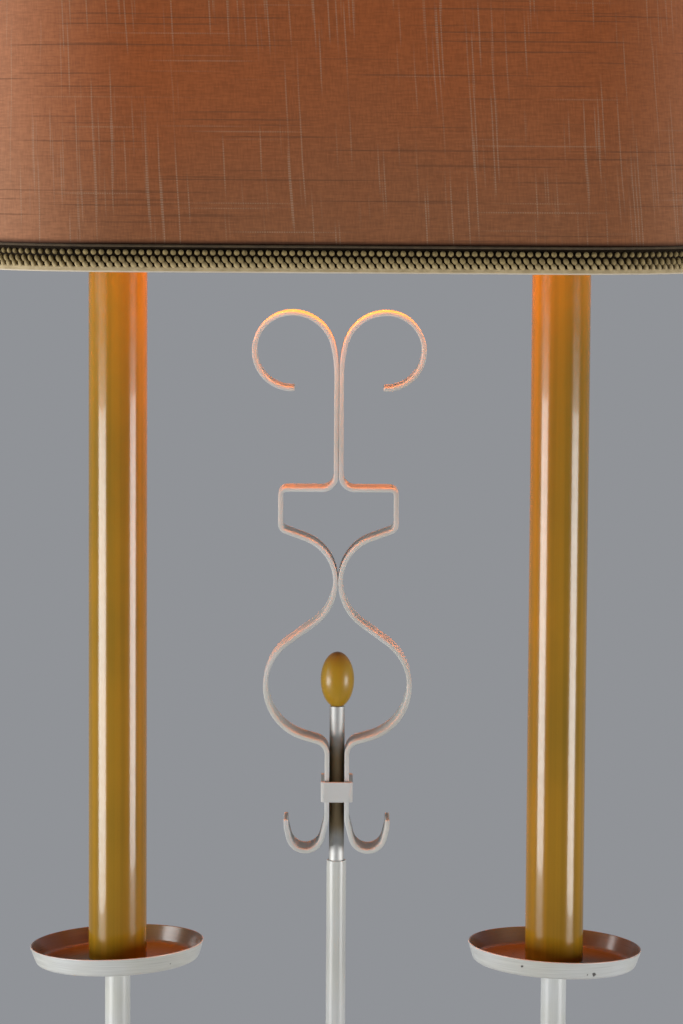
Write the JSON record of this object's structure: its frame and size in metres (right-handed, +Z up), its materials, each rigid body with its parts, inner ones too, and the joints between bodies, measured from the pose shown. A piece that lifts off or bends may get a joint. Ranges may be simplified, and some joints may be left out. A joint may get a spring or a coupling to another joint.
{
  "type": "candle floor lamp",
  "caption": "Floor lamp with two candle tubes in drip pans, an oblong fabric shade and a bent-strap scroll ornament on a centre rod.",
  "frame": {"origin": "on the floor, under the centre of the base", "axes": "+Z up, -Y the front that the picture shows, +X to the viewer's right"},
  "size_m": [0.4896, 0.3, 1.47],
  "materials": {
    "cream_paint": "satin enamel, a little worn",
    "strap_paint": "satin enamel, finely brushed",
    "candle_enamel": "gloss mustard enamel",
    "egg_enamel": "gloss mustard enamel",
    "rod_metal": "satin",
    "zinc_steel": "zinc plated",
    "iron": "rough cast",
    "brass": "plain",
    "phenolic": "moulded phenolic",
    "bushing_plastic": "moulded",
    "bulb_metal": "spun",
    "bulb_glass": "frosted",
    "wire_paint": "painted wire",
    "shade_liner": "laminated, matt",
    "shade_fabric": "slub linen",
    "shade_braid": "woven gimp braid",
    "felt": "pressed felt"
  },
  "bodies": {
    "lamp": {"felt_pad": "felt", "base_cover": "cream_paint", "base_weight": "iron", "base_spacer": "zinc_steel", "base_washer": "zinc_steel", "base_nut": "zinc_steel", "cord_bushing": "bushing_plastic", "column_foot": "cream_paint", "tie_pipe": "zinc_steel", "lower_column": "cream_paint", "hub": "cream_paint", "left_arm": "cream_paint", "right_arm": "cream_paint", "arm_screws": "zinc_steel", "left_stem_bush": "brass", "right_stem_bush": "brass", "left_pan": "cream_paint", "right_pan": "cream_paint", "pan_washers": "zinc_steel", "pan_nuts": "zinc_steel", "left_riser": "zinc_steel", "right_riser": "zinc_steel", "left_candle_tube": "candle_enamel", "right_candle_tube": "candle_enamel", "left_tube_cap": "candle_enamel", "right_tube_cap": "candle_enamel", "spire_tube": "cream_paint", "spire_rod": "rod_metal", "finial": "egg_enamel", "left_socket_cap": "brass", "right_socket_cap": "brass", "riser_nuts": "zinc_steel", "left_socket_body": "phenolic", "right_socket_body": "phenolic", "left_bulb_base": "bulb_metal", "right_bulb_base": "bulb_metal", "left_bulb_glass": "bulb_glass", "right_bulb_glass": "bulb_glass", "left_shade_ring": "phenolic", "right_shade_ring": "phenolic", "shade_fitter": "wire_paint", "shade_ribs": "wire_paint", "bottom_wire": "wire_paint", "top_wire": "wire_paint", "shade_liner": "shade_liner", "shade_fabric": "shade_fabric", "bottom_braid": "shade_braid", "top_braid": "shade_braid"},
    "ornament": {"left_strap": "strap_paint", "right_strap": "strap_paint", "strap_collar": "strap_paint"},
    "left_key": {"left_turn_key": "phenolic"},
    "right_key": {"right_turn_key": "phenolic"}
  },
  "joints": [
    {"name": "ornament_swivel", "type": "hinge", "parent": "lamp", "child": "ornament", "pos_m": [0, 0, 0.8605], "axis": [0, 0, 1], "continuous": true},
    {"name": "left_key_turn", "type": "hinge", "parent": "lamp", "child": "left_key", "pos_m": [-0.143, 0, 1.27425], "axis": [0, -1, 0], "continuous": true},
    {"name": "right_key_turn", "type": "hinge", "parent": "lamp", "child": "right_key", "pos_m": [0.143, 0, 1.27425], "axis": [0, -1, 0], "continuous": true}
  ]
}
